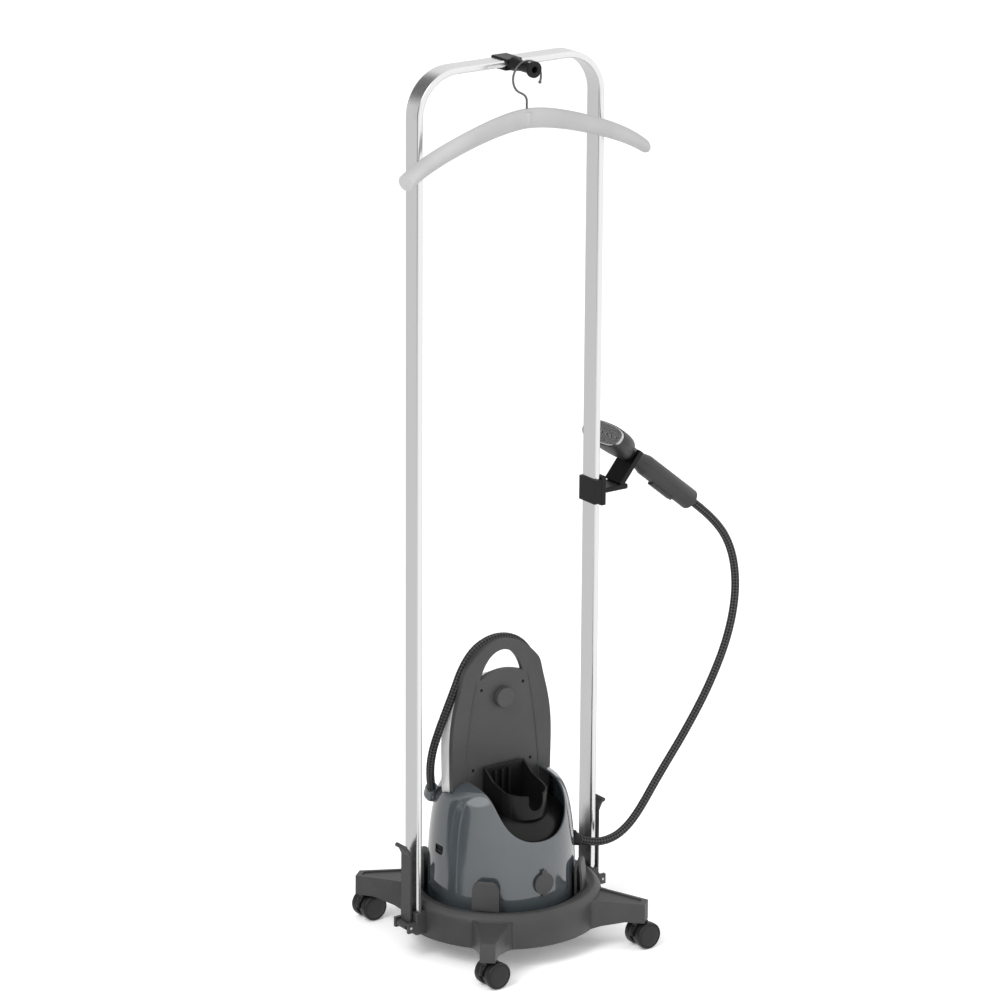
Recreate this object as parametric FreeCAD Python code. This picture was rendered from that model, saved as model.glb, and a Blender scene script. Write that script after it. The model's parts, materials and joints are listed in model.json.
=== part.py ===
import FreeCAD, Part
import math
import os

# Garment steamer: a steam unit standing in a four-armed tray on castors, with an upright hanging frame.
# Millimetres. +Z is up, the front faces -Y, and the origin is on the floor under the tray's centre.

V = FreeCAD.Vector

# ---- driving dimensions -------------------------------------------------------------------------------
# Heights are given from a datum that lies FLOOR_Z under the floor. save() moves each piece down onto it.
FLOOR_Z = 10.0

TRAY_R = 154.5            # outer radius of the tray's skirt
TRAY_SKIRT_Z = 44.0       # lower edge of the skirt
TRAY_RIM_Z = 97.0         # top of the broad rounded rim
TRAY_INNER_R = 122.5      # inner edge of the rim
TRAY_FLOOR_Z = 62.0       # surface that the unit stands on
TRAY_WALL = 4.0

ARM_ANGLES = (49.7, 130.3, 229.7, 310.3)
ARM_NAMES = ("rear_right", "rear_left", "front_left", "front_right")
ARM_REACH = 230.0         # from the centre to an arm's end
ARM_BASE_Z = 53.2         # underside at the arm's end
ARM_ROOT_TOP_Z = 89.0
ARM_TIP_TOP_Z = 84.0
ARM_FACET_DEPTH = 2.2     # how deep the triangular panel in an arm's top lies
STEM_R = 218.0            # from the centre to a castor's stem

TAB_ANGLES = (44, 136, 224, 316)
TAB_HALF_W = 21.0
TAB_TOP_Z = 141.0

LEVER_PIN_X = 181.0
LEVER_PIN_Z = 64.0
LEVER_PIN_R = 2.0

WHEEL_R = 21.0
WHEEL_W = 13.0
WHEEL_GAP = 6.0           # from the castor's middle to a wheel's inner face
TRAIL = 8.0               # from the stem to the axle
AXLE_R = 2.5
STEM_PIN_R = 4.0
CROWN_R = 9.5
RUN_FIT = 0.05            # radial clearance of a running pin
CLEAR = 0.3               # gap between pieces that move past each other

FRAME_X = 163.4           # upright's centre line
FRAME_TOP_Z = 1389.0
FRAME_D = 34.0            # depth of the flat tube, front to back
FRAME_T = 10.0            # its thickness
FRAME_WALL = 1.5
FRAME_BEND_R = 65.0       # centre-line radius of the two upper bends
FRAME_FOOT_Z = 56.0

PEG_Z = FRAME_TOP_Z - FRAME_T / 2
PEG_NECK_R = 8.0
PEG_END_Y = -71.0
PEG_FLANGE_R = 12.3
PEG_BORE_R = 5.2
PEG_BORE_L = 34.0
HOOK_Y = -52.0
HOOK_WIRE_R = 1.6
HOOK_LOOP_R = 25.0
HANGER_W = 440.0

LEVER_HALF_W = 12.0
LEVER_TOP_Z = 186.0       # where the lever's flared lip begins
HANGER_NECK_Z = 1316.0

SHELL_BASE_Z = 67.0
SHELL_WALL = 2.6
SCOOP_HALF_W = 66.0
SCOOP_BOTTOM_Z = 195.0
DECK_Z = 228.0
CUP_HALF_W = 38.0
CUP_BACK_Y = -5.0
CUP_FRONT_Y = -92.0
CUP_WALL = 3.0

DRAIN_DEG = -91.0
DRAIN_Z = 129.0
DRAIN_R = 17.0
SWITCH_DEG = 176.0
SWITCH_Z = 169.0
PANEL_T = 9.0
KNOB_Z = 397.0
PANEL_SCREWS = [(-38.5, 413.5), (38.5, 413.5), (-53.4, 287), (53.4, 287)]
COVER_Y0 = PANEL_T + 0.4
COVER_Y1 = 33.0
HOSE_R = 6.5
HOSE_FIT = 0.3

HANDSET_END = V(375, 30, 638)          # centre of the handle's open end
HANDSET_DIR = V(-0.778, 0, 0.628)      # from the open end towards the head
HANDSET_UP = V(0.628, 0, 0.778)        # out of the holder's slot
HANDLE_R = 16.5
NECK_R = 12.0
NECK_AT = 147.0
HEAD_AT = 215.0
TRIGGER_FROM = 34.0
TRIGGER_TO = 84.0
TRIGGER_PIN = (80.0, -12.0)

COLLAR_START = V(110.5, -33.4, 152.4)

# Middle line of the free steam hose, from the unit's side collar to the handset.
HOSE_ROUTE = [
    (110.5, -33.4, 152.4), (138, -40, 141.5), (167, -44.5, 138.5), (198, -44, 146), (233, -37, 167),
    (283, -24, 216), (345, -13, 277), (399, -3, 341), (440, 4, 414), (459, 12, 487), (452, 20, 553),
    (419, 27, 603), (375, 30, 638),
]
# Middle line of the stretch that lies over the carrying handle, from the left gland to the rear grommet.
LOOP_ROUTE = [
    (-89, 59, 244), (-104, 44, 276), (-107, 34, 316), (-99, 27, 352), (-89, 21, 385), (-77, 17, 418),
    (-64, 16.5, 449), (-43, 16.5, 474.5), (-15, 16.5, 487), (15, 16.5, 487), (43, 16.5, 474.5),
    (64, 16.5, 449), (76, 18, 419), (81, 20, 390),
]

os.makedirs("parts", exist_ok=True)


# ---- helpers ------------------------------------------------------------------------------------------
def save(name, shape):
    shape = shape.copy()
    shape.translate(V(0, 0, -FLOOR_Z))
    shape.exportStep("parts/" + name + ".step")
    print(name, "solids", len(shape.Solids), "valid", shape.isValid(), "volume", round(shape.Volume))


def box(x0, y0, z0, x1, y1, z1):
    return Part.makeBox(x1 - x0, y1 - y0, z1 - z0, V(x0, y0, z0))


def rounded_box(x0, y0, z0, x1, y1, z1, r):
    solid = box(x0, y0, z0, x1, y1, z1)
    return solid.makeFillet(r, solid.Edges)


def rod(start, direction, radius, length):
    return Part.makeCylinder(radius, length, V(*start), V(*direction))


def spin(points):
    """A solid of revolution about Z from (radius, z) points."""
    wire = Part.makePolygon([V(r, 0, z) for r, z in points] + [V(points[0][0], 0, points[0][1])])
    return Part.Face(wire).revolve(V(0, 0, 0), V(0, 0, 1), 360)


def plate(points, y0, y1):
    """A plate of thickness y0 to y1 from (x, z) points."""
    wire = Part.makePolygon([V(x, y0, z) for x, z in points] + [V(points[0][0], y0, points[0][1])])
    return Part.Face(wire).extrude(V(0, y1 - y0, 0))


def smooth_plate(points, y0, y1):
    """A plate whose outline is straight between the first two points and a spline through the rest."""
    vectors = [V(x, y0, z) for x, z in points]
    curve = Part.BSplineCurve()
    curve.interpolate(vectors[1:] + [vectors[0]])
    wire = Part.Wire([Part.LineSegment(vectors[0], vectors[1]).toShape(), curve.toShape()])
    return Part.Face(wire).extrude(V(0, y1 - y0, 0))


def group(solids):
    return Part.makeCompound(solids)


def fuse(first, *others):
    return first.fuse(list(others)).removeSplitter()


def mirrored(shape):
    return shape.mirror(V(0, 0, 0), V(1, 0, 0))


def turned(shape, degrees):
    copy = shape.copy()
    copy.rotate(V(0, 0, 0), V(0, 0, 1), degrees)
    return copy


def polar(radius, degrees, z):
    angle = math.radians(degrees)
    return V(radius * math.cos(angle), radius * math.sin(angle), z)


def hose(route, radius, label):
    """A tube along straight runs joined by tangent arcs. Each arc is as large as its two runs allow."""
    points = [V(*p) for p in route]
    edges = []
    radii = []
    last = points[0]
    for before, corner, after in zip(points, points[1:], points[2:]):
        back = before - corner
        ahead = after - corner
        half_turn = (math.pi - back.getAngle(ahead)) / 2
        reach = 0.45 * min(back.Length, ahead.Length)
        radii.append(reach / math.tan(half_turn))
        back.normalize()
        ahead.normalize()
        start = corner + back * reach
        end = corner + ahead * reach
        inward = (back + ahead).normalize()
        middle = corner + inward * (radii[-1] / math.cos(half_turn) - radii[-1])
        edges.append(Part.LineSegment(last, start).toShape())
        edges.append(Part.Arc(start, middle, end).toShape())
        last = end
    edges.append(Part.LineSegment(last, points[-1]).toShape())
    wire = Part.Wire(edges)
    first_run = points[1] - points[0]
    section = Part.Wire([Part.Circle(points[0], first_run, radius).toShape()])
    tube = wire.makePipeShell([section], True, False)
    print(label, "radii", [round(r) for r in radii], "length", round(wire.Length, 1),
          "volume ratio", round(tube.Volume / (math.pi * radius ** 2 * wire.Length), 4))
    return tube


def socket(start, direction, outer_r, depth, wall):
    """A blind round socket whose mouth points along direction and whose bottom is at start."""
    axis = V(*direction).normalize()
    outer = Part.makeCylinder(outer_r, depth + wall, V(*start) - axis * wall, axis)
    bore = Part.makeCylinder(HOSE_R + HOSE_FIT, depth + 1, V(*start), axis)
    return outer.cut(bore)


# ---- tray, arms and frame sockets ---------------------------------------------------------------------
def arm_section(radius, half_low, half_top, z_low, z_top):
    """A four-sided section across an arm, at a distance from the tray's centre."""
    corners = [V(radius, -half_low, z_low), V(radius, half_low, z_low), V(radius, half_top, z_top),
               V(radius, -half_top, z_top)]
    return Part.makePolygon(corners + [corners[0]])


def tray_arm(degrees):
    """One solid arm: flared at the skirt, narrow at its end, with a sunk triangular panel in its top."""
    flare = Part.makeLoft([
        arm_section(138, 37, 35, TRAY_SKIRT_Z, ARM_ROOT_TOP_Z),
        arm_section(152, 31.5, 30.5, TRAY_SKIRT_Z, ARM_ROOT_TOP_Z),
        arm_section(164, 25, 26.5, 47, 88.2),
    ], True, True)
    reach = Part.makeLoft([
        arm_section(164, 25, 26.5, 47, 88.2),
        arm_section(200, 14.5, 18, ARM_BASE_Z, 86),
        arm_section(ARM_REACH, 12, 11.5, ARM_BASE_Z, ARM_TIP_TOP_Z),
    ], True, True)
    arm = fuse(flare, reach)
    # The sunk panel follows the top's slope.
    slope = (ARM_ROOT_TOP_Z - ARM_TIP_TOP_Z) / (ARM_REACH - 152)
    rim = [(150, 25), (150, -25), (221, -7), (221, 7)]
    corners = [V(r, w, ARM_ROOT_TOP_Z - (r - 152) * slope - ARM_FACET_DEPTH) for r, w in rim]
    panel = Part.Face(Part.makePolygon(corners + [corners[0]])).extrude(V(0, 0, 8))
    arm = arm.cut(panel)
    boss = Part.makeCylinder(12, 12, V(STEM_R, 0, ARM_BASE_Z))
    seat = Part.makeCylinder(CROWN_R + 1, 2.8, V(STEM_R, 0, ARM_BASE_Z - 0.1))
    return turned(fuse(arm, boss).cut(seat), degrees)


def make_tray():
    under = TRAY_INNER_R + TRAY_WALL
    skirt = spin([
        (TRAY_R, TRAY_SKIRT_Z), (TRAY_R, 84), (TRAY_R - 1.2, 89), (TRAY_R - 4, 93.2), (TRAY_R - 9, 96.2),
        (144, TRAY_RIM_Z), (137, 96.4), (130, 94.6), (125, 92.6), (TRAY_INNER_R + 0.6, 91),
        (TRAY_INNER_R, 88.5), (TRAY_INNER_R, TRAY_FLOOR_Z), (0, TRAY_FLOOR_Z), (0, 58), (under, 58),
        (under, 88), (130, 90.4), (140, 92.6), (TRAY_R - 7, 90.5), (TRAY_R - TRAY_WALL, 84),
        (TRAY_R - TRAY_WALL, TRAY_SKIRT_Z),
    ])
    # The arms stop at the skirt's inside, so that the tray stays open underneath.
    inside = Part.makeCylinder(TRAY_R - TRAY_WALL, 60, V(0, 0, 30))
    tray = skirt
    for degrees in ARM_ANGLES:
        tray = tray.fuse(tray_arm(degrees).cut(inside))
    tray = tray.removeSplitter()
    for degrees in ARM_ANGLES:
        tray = tray.cut(Part.makeCylinder(STEM_PIN_R + RUN_FIT, 28, polar(STEM_R, degrees, 45)))
    return tray


def retaining_tab(degrees):
    """A folded tongue that rises beside the unit and keeps it in the tray."""
    side = [(117, TRAY_FLOOR_Z), (117, 133), (119, 138.5), (TRAY_INNER_R, TAB_TOP_Z), (126, 138),
            (128.5, 120), (129.5, 95.5), (126.2, 94.5), (125.2, 120), (123.4, 135.5), (122, 137.4),
            (120.4, 133), (120.4, TRAY_FLOOR_Z)]
    wire = Part.makePolygon([V(r, -TAB_HALF_W, z) for r, z in side + side[:1]])
    tongue = Part.Face(wire).extrude(V(0, 2 * TAB_HALF_W, 0))
    # Rounded top corners, seen from outside the tray.
    corner_r = 14
    corner_y = TAB_HALF_W - corner_r
    corner_z = TAB_TOP_Z - corner_r
    rounds = [rod((100, y, corner_z), (1, 0, 0), corner_r, 50) for y in (-corner_y, corner_y)]
    face = fuse(box(100, -TAB_HALF_W, 55, 150, TAB_HALF_W, corner_z),
                box(100, -corner_y, 55, 150, corner_y, TAB_TOP_Z), *rounds)
    return turned(tongue.common(face), degrees)


def foot_bracket():
    """The right socket that holds the upright beside the tray, with two ears for the lever's pin."""
    y = FRAME_D / 2 + 3
    block = rounded_box(TRAY_R - 6, -y, 50, 172, y, 86, 2)
    block = block.cut(Part.makeCylinder(TRAY_R + 0.05, 80, V(0, 0, 30)))
    ears = [box(172, side * (y - 2.5) - 2.5, 56, 186, side * (y - 2.5) + 2.5, 72) for side in (-1, 1)]
    block = fuse(block, *ears)
    seat = box(FRAME_X - FRAME_T / 2 - 0.1, -FRAME_D / 2 - 0.1, FRAME_FOOT_Z,
               FRAME_X + FRAME_T / 2 + 0.1, FRAME_D / 2 + 0.1, 95)
    return block.cut(seat).cut(rod((LEVER_PIN_X, -30, LEVER_PIN_Z), (0, 1, 0), LEVER_PIN_R, 60))


def latch_lever():
    """The right lever: a flat plate beside the upright with a rolled lip above and an eye below."""
    half = LEVER_HALF_W
    top = LEVER_TOP_Z
    side = [(175, 70), (178, 66), (178, top - 9), (183, top + 1), (187, top + 5.5), (184.5, top + 7.5),
            (179.5, top + 3), (175, top - 6)]
    wire = Part.makePolygon([V(x, -half, z) for x, z in side] + [V(side[0][0], -half, side[0][1])])
    body = Part.Face(wire).extrude(V(0, 2 * half, 0))
    bead = rod((186, -half, top + 6.5), (0, 1, 0), 3.4, 2 * half)
    eye = rod((LEVER_PIN_X, -half, LEVER_PIN_Z), (0, 1, 0), 5.5, 2 * half)
    stem = box(175, -half, 64, 178.5, half, 74)
    lever = fuse(body, bead, eye, stem)
    return lever.cut(rod((LEVER_PIN_X, -half - 1, LEVER_PIN_Z), (0, 1, 0), LEVER_PIN_R + RUN_FIT, 2 * half + 2))


# ---- castors ------------------------------------------------------------------------------------------
def castor_housing():
    """The middle of a castor, drawn on the floor under its stem: a fork plate between the two wheels."""
    crown_z = ARM_BASE_Z - FLOOR_Z - 0.9
    disc = rod((TRAIL, -5, WHEEL_R), (0, 1, 0), 17.5, 10)
    neck = rounded_box(-8, -5, WHEEL_R, 15, 5, crown_z + 0.4, 1.5)
    crown = Part.makeCylinder(CROWN_R, 3.2, V(0, 0, crown_z))
    hood = rod((TRAIL, -5, WHEEL_R), (0, 1, 0), WHEEL_R + 1.5, 10)
    hood = hood.common(box(-15, -6, WHEEL_R, TRAIL, 6, crown_z + 0.5))
    body = fuse(disc, neck, crown, hood)
    stem_hole = Part.makeCylinder(STEM_PIN_R, 20, V(0, 0, 30))
    axle_hole = rod((TRAIL, -10, WHEEL_R), (0, 1, 0), AXLE_R, 20)
    return body.cut(stem_hole).cut(axle_hole)


def castor_pins():
    stem = Part.makeCylinder(STEM_PIN_R, 32, V(0, 0, 30))
    axle = rod((TRAIL, -17, WHEEL_R), (0, 1, 0), AXLE_R, 34)
    return group([stem, axle])


def castor_wheel(side):
    start = WHEEL_GAP if side > 0 else -WHEEL_GAP - WHEEL_W
    wheel = rod((TRAIL, start, WHEEL_R), (0, 1, 0), WHEEL_R, WHEEL_W)
    wheel = wheel.makeFillet(1.8, [e for e in wheel.Edges if e.Length > 100])
    bore_start = start - 1 if side > 0 else start + 2
    bore = rod((TRAIL, bore_start, WHEEL_R), (0, 1, 0), AXLE_R + RUN_FIT, WHEEL_W - 1)
    return wheel.cut(bore)


# ---- hanging frame ------------------------------------------------------------------------------------
def flat_section(depth, thickness, radius, centre_x, z):
    """A rounded rectangle in a plane of constant z."""
    solid = box(centre_x - thickness / 2, -depth / 2, z, centre_x + thickness / 2, depth / 2, z + 1)
    edges = [e for e in solid.Edges if abs(e.Vertexes[0].Z - e.Vertexes[1].Z) > 0.5]
    solid = solid.makeFillet(radius, edges)
    return [f for f in solid.Faces if abs(f.CenterOfMass.z - z) < 1e-6][0]


def tube_solid(depth, thickness, radius):
    """The whole inverted U of one section size."""
    bend_x = FRAME_X - FRAME_BEND_R
    bend_z = FRAME_TOP_Z - FRAME_T / 2 - FRAME_BEND_R
    leg = flat_section(depth, thickness, radius, FRAME_X, FRAME_FOOT_Z)
    leg = leg.extrude(V(0, 0, bend_z - FRAME_FOOT_Z))
    section = flat_section(depth, thickness, radius, FRAME_X, bend_z)
    bend = section.revolve(V(bend_x, 0, bend_z), V(0, -1, 0), 90)
    top = flat_section(depth, thickness, radius, FRAME_X, bend_z)
    top.rotate(V(bend_x, 0, bend_z), V(0, -1, 0), 90)
    bar = top.extrude(V(-2 * bend_x, 0, 0))
    return leg.fuse([bend, bar, mirrored(leg), mirrored(bend)]).removeSplitter()


def make_frame_tube():
    outer = tube_solid(FRAME_D, FRAME_T, 3.2)
    inner = tube_solid(FRAME_D - 2 * FRAME_WALL, FRAME_T - 2 * FRAME_WALL, 1.7)
    return outer.cut(inner)


def peg_saddle():
    """The upper half of the clamp, over the top bar, with the peg in one piece with it."""
    top = FRAME_TOP_Z + 2.6
    hood = rounded_box(-14, -20.5, PEG_Z, 14, 20.5, top, 2)
    hood = hood.cut(box(-15, -17.1, PEG_Z - 1, 15, 17.1, FRAME_TOP_Z + 0.1))
    nose = Part.makeCone(11, PEG_NECK_R, 18, V(0, -19.8, PEG_Z), V(0, -1, 0))
    neck = rod((0, -19.8, PEG_Z), (0, -1, 0), PEG_NECK_R, -PEG_END_Y - 19.8)
    flange = Part.makeCone(PEG_NECK_R, PEG_FLANGE_R, 6, V(0, PEG_END_Y + 10, PEG_Z), V(0, -1, 0))
    lip = rod((0, PEG_END_Y + 4, PEG_Z), (0, -1, 0), PEG_FLANGE_R, 4)
    front = box(-11, -20.5, PEG_Z - 9, 11, -17.1, PEG_Z + 2)
    peg = fuse(hood, nose, neck, flange, lip, front)
    return peg.cut(rod((0, PEG_END_Y - 1, PEG_Z), (0, 1, 0), PEG_BORE_R, PEG_BORE_L + 1))


def peg_under_clamp():
    base = FRAME_TOP_Z - FRAME_T - 0.1
    strap = rounded_box(-14, -17, base - 5, 14, 20.5, base, 1.2)
    lug = box(-14, 17.2, base - 3, 14, 20.5, PEG_Z - 0.2)
    return fuse(strap, lug)


def peg_screws():
    base = FRAME_TOP_Z - FRAME_T - 5.1
    return group([rod((x, 8, base), (0, 0, -1), 2.8, 2.0) for x in (-8, 8)])


def hook_wire():
    """A hanger hook in the plane y = HOOK_Y, open at the lower right."""
    centre_z = PEG_Z + PEG_NECK_R + CLEAR + HOOK_WIRE_R - HOOK_LOOP_R
    tip_angle = math.radians(-22)
    end_angle = math.radians(218)
    middle_angle = (tip_angle + end_angle) / 2

    def on_loop(angle):
        return V(HOOK_LOOP_R * math.cos(angle), HOOK_Y, centre_z + HOOK_LOOP_R * math.sin(angle))

    loop = Part.Arc(on_loop(tip_angle), on_loop(middle_angle), on_loop(end_angle))
    last = on_loop(end_angle)
    leaving = V(-math.sin(end_angle), 0, math.cos(end_angle))
    stem_top = V(0, HOOK_Y, centre_z - HOOK_LOOP_R - 11)
    shoulder = Part.BSplineCurve()
    shoulder.interpolate([last, stem_top], InitialTangent=leaving * 24, FinalTangent=V(0, 0, -24))
    stem = Part.LineSegment(stem_top, V(0, HOOK_Y, HANGER_NECK_Z - 14))
    wire = Part.Wire([loop.toShape(), shoulder.toShape(), stem.toShape()])
    tangent = V(-math.sin(tip_angle), 0, math.cos(tip_angle))
    section = Part.Wire([Part.Circle(on_loop(tip_angle), tangent, HOOK_WIRE_R).toShape()])
    tip = Part.makeSphere(HOOK_WIRE_R + 0.9, on_loop(tip_angle))
    return fuse(wire.makePipeShell([section], True, False), tip)


def hanger_body():
    """A shaped hanger: two falling shoulders, thicker towards their ends, on a round neck."""
    half = HANGER_W / 2
    stations = [(0, HANGER_NECK_Z - 8, 7, 15), (45, HANGER_NECK_Z - 13, 8, 15),
                (110, HANGER_NECK_Z - 30, 11, 14), (170, HANGER_NECK_Z - 52, 15, 13),
                (half - 6, HANGER_NECK_Z - 76, 18, 11)]
    wires = []
    for x, z, half_depth, half_height in stations:
        ellipse = Part.Ellipse(V(x, HOOK_Y, z), max(half_depth, half_height), min(half_depth, half_height))
        shape = ellipse.toShape()
        shape.rotate(V(x, HOOK_Y, z), V(0, 1, 0), 90)
        if half_depth > half_height:
            shape.rotate(V(x, HOOK_Y, z), V(1, 0, 0), 90)
        wires.append(Part.Wire([shape]))
    side = Part.makeLoft(wires, True, False)
    neck = Part.makeCylinder(8, 20, V(0, HOOK_Y, HANGER_NECK_Z - 18))
    body = fuse(side, mirrored(side), neck)
    return body.cut(Part.makeCylinder(HOOK_WIRE_R + RUN_FIT, 40, V(0, HOOK_Y, HANGER_NECK_Z - 15)))


# ---- handset and its holder ---------------------------------------------------------------------------
def handset_point(along, up=0.0, across=0.0):
    return HANDSET_END + HANDSET_DIR * along + HANDSET_UP * up + V(0, across, 0)


def handset_place(shape):
    """Moves a shape drawn along +X, with +Z up and +Y across, onto the handset's axis."""
    copy = shape.copy()
    matrix = FreeCAD.Matrix(
        HANDSET_DIR.x, 0, HANDSET_UP.x, HANDSET_END.x,
        0, 1, 0, HANDSET_END.y,
        HANDSET_DIR.z, 0, HANDSET_UP.z, HANDSET_END.z,
        0, 0, 0, 1)
    # The frame is left-handed. Every shape drawn in it is symmetric about its X-Z plane.
    return copy.transformGeometry(matrix)


def oval(along, half_across, half_up, up=0.0):
    """A closed oval in the plane across the handset's local X axis."""
    points = []
    for step in range(24):
        angle = 2 * math.pi * step / 24
        c = math.cos(angle)
        s = math.sin(angle)
        y = half_across * math.copysign(abs(c) ** 0.75, c)
        z = up + half_up * math.copysign(abs(s) ** 0.75, s)
        points.append(V(along, y, z))
    curve = Part.BSplineCurve()
    curve.interpolate(points, PeriodicFlag=True)
    return Part.Wire([curve.toShape()])


def handset_outer():
    handle = Part.makeCylinder(HANDLE_R, 112, V(0, 0, 0), V(1, 0, 0))
    cone = Part.makeCone(HANDLE_R, NECK_R, 20, V(112, 0, 0), V(1, 0, 0))
    neck = Part.makeCylinder(NECK_R, 26, V(132, 0, 0), V(1, 0, 0))
    sections = [oval(157, 15, 15), oval(172, 30, 18), oval(194, 46, 19), oval(HEAD_AT, 50, 18)]
    head = Part.makeLoft(sections, True, False)
    throat = Part.makeCylinder(NECK_R, 4, V(155, 0, 0), V(1, 0, 0))
    return fuse(handle, cone, neck, throat, head)


def handset_hollow():
    handle = Part.makeCylinder(HANDLE_R - 2.5, 110, V(-1, 0, 0), V(1, 0, 0))
    cone = Part.makeCone(HANDLE_R - 2.5, NECK_R - 2.5, 20, V(109, 0, 0), V(1, 0, 0))
    neck = Part.makeCylinder(NECK_R - 2.5, 34, V(129, 0, 0), V(1, 0, 0))
    sections = [oval(160, 11, 11), oval(172, 27, 15), oval(194, 43, 16), oval(HEAD_AT + 1, 47, 15)]
    head = Part.makeLoft(sections, True, False)
    return fuse(handle, cone, neck, head)


def make_handset():
    shell = handset_outer().cut(handset_hollow())
    opening = box(TRIGGER_FROM - 0.6, -6.8, -30, TRIGGER_TO + 0.6, 6.8, -4)
    px, pz = TRIGGER_PIN
    shell = shell.cut(opening).cut(rod((px, -8.5, pz), (0, 1, 0), 1.5, 17))
    upper = shell.common(box(-5, -70, 0.05, 300, 70, 60))
    lower = shell.common(box(-5, -70, -60, 300, 70, -0.05))
    save("handset_shell_upper", handset_place(upper))
    save("handset_shell_lower", handset_place(lower))

    trigger = rounded_box(TRIGGER_FROM, -6.2, -20, TRIGGER_TO, 6.2, -9.5, 1.8)
    trigger = trigger.cut(rod((px, -10, pz), (0, 1, 0), 1.5 + RUN_FIT, 20))
    save("handset_trigger", handset_place(trigger))
    save("handset_trigger_pin", handset_place(rod((px, -8.5, pz), (0, 1, 0), 1.5, 17)))

    steam_plate = Part.makeLoft([oval(HEAD_AT + 0.1, 49, 17), oval(HEAD_AT + 3.5, 47.5, 15.5)], True, True)
    for across in range(-36, 37, 12):
        steam_plate = steam_plate.cut(rod((HEAD_AT - 2, across, 0), (1, 0, 0), 1.8, 10))
    save("handset_steam_plate", handset_place(steam_plate))

    pipe = Part.makeCylinder(5, 140, V(38, 0, 2), V(1, 0, 0))
    valve = Part.makeCylinder(8, 22, V(88, 0, 2), V(1, 0, 0))
    save("handset_steam_pipe", handset_place(fuse(pipe, valve)))

    ring = Part.makeCylinder(HANDLE_R - 2.6, 29, V(1.5, 0, 0), V(1, 0, 0))
    mouth = Part.makeCone(10.5, 9.5, 8, V(0.5, 0, 0), V(1, 0, 0))
    bore = Part.makeCylinder(HOSE_R + HOSE_FIT, 20, V(6, 0, 0), V(1, 0, 0))
    save("handset_hose_socket", handset_place(ring.cut(mouth).cut(bore)))


def holder_bracket():
    """The outer half of the clamp on the right upright, with a shelf and a slotted cradle."""
    y = FRAME_D / 2
    x0 = FRAME_X + FRAME_T / 2 + 0.1
    block = rounded_box(x0, -y - 3, 676, x0 + 9, y + 3, 722, 1.5)
    shelf = rounded_box(x0 + 6, 8, 684, 240, 46, 692, 2)
    cradle = box(NECK_AT - 4, -20, -50, NECK_AT + 4, 20, 10)
    slot = box(NECK_AT - 5, -NECK_R - CLEAR, 0, NECK_AT + 5, NECK_R + CLEAR, 20)
    seat = rod((NECK_AT - 5, 0, 0), (1, 0, 0), NECK_R + CLEAR, 10)
    cradle = handset_place(cradle.cut(slot).cut(seat))
    return fuse(block, shelf, cradle)


def holder_clamp_plate():
    """The inner half of the clamp: a thin plate with two returns past the upright's edges."""
    y = FRAME_D / 2
    x1 = FRAME_X - FRAME_T / 2 - 0.1
    inner = box(x1 - 3, -y - 3, 680, x1, y + 3, 718)
    returns = [box(x1 - 3, s * (y + 1.6) - 1.4, 680, FRAME_X + FRAME_T / 2, s * (y + 1.6) + 1.4, 718)
               for s in (-1, 1)]
    return fuse(inner, *returns)


def holder_screws():
    heads = []
    x0 = FRAME_X + FRAME_T / 2 + 9.1
    for z in (712, 698):
        heads.append(rod((x0, -9, z), (1, 0, 0), 3, 2.2))
    return group(heads)


# ---- steam unit ---------------------------------------------------------------------------------------
SHELL_OUTLINE = [(113.0, SHELL_BASE_Z), (114.0, 95), (113.5, 125), (112.4, 160), (109.6, 193), (105.8, 220),
                 (100.8, 241), (94.5, 256), (85.5, 266), (71, 272.5), (40, 276), (0, 277)]


def smooth_spin(points, base_z):
    """Revolves a smooth curve through (radius, z) points that ends on the axis, closed at base_z."""
    curve = Part.BSplineCurve()
    curve.interpolate([V(r, 0, z) for r, z in points])
    first = V(points[0][0], 0, points[0][1])
    foot = V(0, 0, base_z)
    top = V(0, 0, points[-1][1])
    wire = Part.Wire([
        Part.LineSegment(foot, first).toShape(),
        curve.toShape(),
        Part.LineSegment(top, foot).toShape(),
    ])
    return Part.Face(wire).revolve(V(0, 0, 0), V(0, 0, 1), 360)


def scoop_cutter():
    """The deep front scoop as a U seen from the front."""
    w = SCOOP_HALF_W
    z = SCOOP_BOTTOM_Z
    outline = [(-w - 2, 330), (w + 2, 330), (w, 266), (61, 238), (50, 215), (30, 200), (0, z),
               (-30, 200), (-50, 215), (-61, 238), (-w, 266)]
    return smooth_plate(outline, -140, -0.6)


def unit_shell():
    outer = smooth_spin(SHELL_OUTLINE, SHELL_BASE_Z)
    inner_points = [(max(r - SHELL_WALL, 0), z - (SHELL_WALL if r < 95 else 0)) for r, z in SHELL_OUTLINE]
    inner = smooth_spin(inner_points, SHELL_BASE_Z)
    shell = outer.cut(inner)
    shell = shell.cut(scoop_cutter())
    shell = shell.cut(box(-93, -0.6, 205, 93, COVER_Y1 + 0.6, 340))
    return shell


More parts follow.
